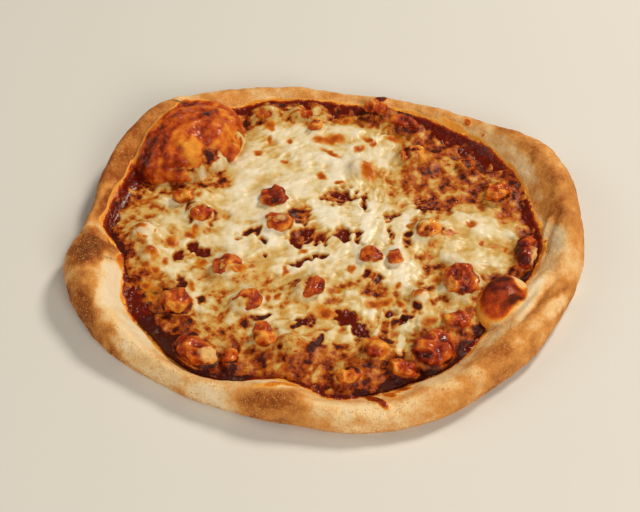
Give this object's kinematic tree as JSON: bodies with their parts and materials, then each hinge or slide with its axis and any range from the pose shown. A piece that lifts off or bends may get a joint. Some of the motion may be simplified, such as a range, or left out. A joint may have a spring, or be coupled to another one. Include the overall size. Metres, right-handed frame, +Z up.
{
  "type": "barbecue chicken pizza",
  "caption": "Whole uncut round pizza with an uneven puffed crust, barbecue sauce, melted cheese and diced chicken; rests flat on its underside.",
  "frame": {"origin": "centre of the pizza's outline (the middle of its bounding box), on the plane that it rests on", "axes": "+X along the pizza's longest width, +Y towards the side with the large baked bubble, +Z up out of the toppings"},
  "size_m": [0.296, 0.2605, 0.029],
  "materials": {
    "baked_dough": "baked bread crust, dry and matte, pale gold with brown patches",
    "barbecue_sauce": "thick dark red sauce, wet and glossy",
    "melted_cheese": "melted cheese, oily and softly glossy, cream with browned spots",
    "glazed_chicken": "diced chicken in a sticky red-brown glaze"
  },
  "bodies": {
    "root": {"dough": "baked_dough", "barbecue_sauce": "barbecue_sauce", "melted_cheese": "melted_cheese", "chicken_01": "glazed_chicken", "chicken_02": "glazed_chicken", "chicken_03": "glazed_chicken", "chicken_04": "glazed_chicken", "chicken_05": "glazed_chicken", "chicken_06": "glazed_chicken", "chicken_07": "glazed_chicken", "chicken_08": "glazed_chicken", "chicken_09": "glazed_chicken", "chicken_10": "glazed_chicken", "chicken_11": "glazed_chicken", "chicken_12": "glazed_chicken", "chicken_13": "glazed_chicken", "chicken_14": "glazed_chicken", "chicken_15": "glazed_chicken", "chicken_16": "glazed_chicken", "chicken_17": "glazed_chicken", "chicken_18": "glazed_chicken", "chicken_19": "glazed_chicken", "chicken_20": "glazed_chicken", "chicken_21": "glazed_chicken", "chicken_22": "glazed_chicken", "chicken_23": "glazed_chicken", "chicken_24": "glazed_chicken", "chicken_25": "glazed_chicken", "chicken_26": "glazed_chicken", "chicken_27": "glazed_chicken", "chicken_28": "glazed_chicken", "chicken_29": "glazed_chicken", "chicken_30": "glazed_chicken", "chicken_31": "glazed_chicken", "chicken_32": "glazed_chicken", "chicken_33": "glazed_chicken", "chicken_34": "glazed_chicken"}
  },
  "joints": []
}
